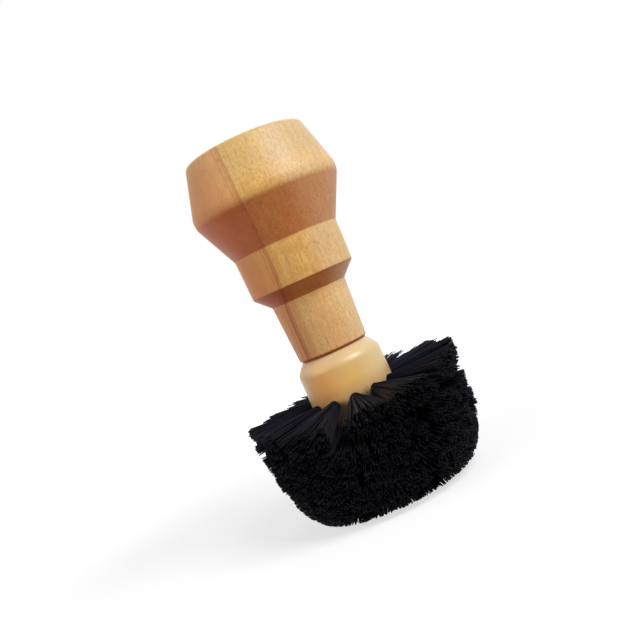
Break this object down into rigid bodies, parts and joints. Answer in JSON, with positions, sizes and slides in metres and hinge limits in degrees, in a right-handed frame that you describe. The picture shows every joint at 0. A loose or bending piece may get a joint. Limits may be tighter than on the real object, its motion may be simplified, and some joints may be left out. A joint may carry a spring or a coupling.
{
  "type": "coffee machine cleaning brush",
  "caption": "Round brush for an espresso group: turned wooden handle screwed to a moulded head with radiating black bristle tufts, trimmed to a rounded outline with a flat end.",
  "frame": {"origin": "centre of the trimmed flat end of the bristles, on the surface that the brush stands on", "axes": "+Z along the turning axis, from the bristles up to the flat top of the handle; +X and +Y point to tufts of the first row"},
  "size_m": [0.0704, 0.0704, 0.12],
  "materials": {
    "wood": "satin lacquer",
    "ivory_plastic": "waxy semi-gloss moulding",
    "bristle": "stiff nylon filament",
    "steel": "bright zinc plated",
    "brass": "turned"
  },
  "bodies": {
    "head": {"head_block": "ivory_plastic", "stud": "steel", "bristles_row_1": "bristle", "bristles_row_2": "bristle", "bristles_row_3": "bristle", "bristles_end": "bristle", "anchor_1_1": "steel", "anchor_1_2": "steel", "anchor_1_3": "steel", "anchor_1_4": "steel", "anchor_1_5": "steel", "anchor_1_6": "steel", "anchor_1_7": "steel", "anchor_1_8": "steel", "anchor_1_9": "steel", "anchor_1_10": "steel", "anchor_1_11": "steel", "anchor_1_12": "steel", "anchor_2_1": "steel", "anchor_2_2": "steel", "anchor_2_3": "steel", "anchor_2_4": "steel", "anchor_2_5": "steel", "anchor_2_6": "steel", "anchor_2_7": "steel", "anchor_2_8": "steel", "anchor_2_9": "steel", "anchor_2_10": "steel", "anchor_2_11": "steel", "anchor_2_12": "steel", "anchor_3_1": "steel", "anchor_3_2": "steel", "anchor_3_3": "steel", "anchor_3_4": "steel", "anchor_3_5": "steel", "anchor_3_6": "steel", "anchor_3_7": "steel", "anchor_3_8": "steel", "anchor_3_9": "steel", "anchor_3_10": "steel", "anchor_3_11": "steel", "anchor_3_12": "steel", "anchor_4_1": "steel", "anchor_4_2": "steel", "anchor_4_3": "steel", "anchor_4_4": "steel", "anchor_4_5": "steel", "anchor_4_6": "steel", "anchor_4_7": "steel", "anchor_4_8": "steel", "anchor_5_1": "steel", "anchor_5_2": "steel", "anchor_5_3": "steel", "anchor_5_4": "steel", "anchor_5_5": "steel", "anchor_5_6": "steel", "anchor_6_1": "steel"},
    "sleeve": {"thread_sleeve": "brass"},
    "handle": {"handle": "wood"}
  },
  "joints": [
    {"name": "sleeve_lift", "type": "slide", "parent": "head", "child": "sleeve", "axis": [0, 0, 1], "range_m": [0, 0.0126]},
    {"name": "handle_turn", "type": "hinge", "parent": "sleeve", "child": "handle", "pos_m": [0, 0, 0.0498], "axis": [0, 0, 1], "range_deg": [0, 3600]}
  ],
  "couplings": [
    {"joint": "sleeve_lift", "follows": "handle_turn", "m_per_rad": 0.00019894}
  ]
}
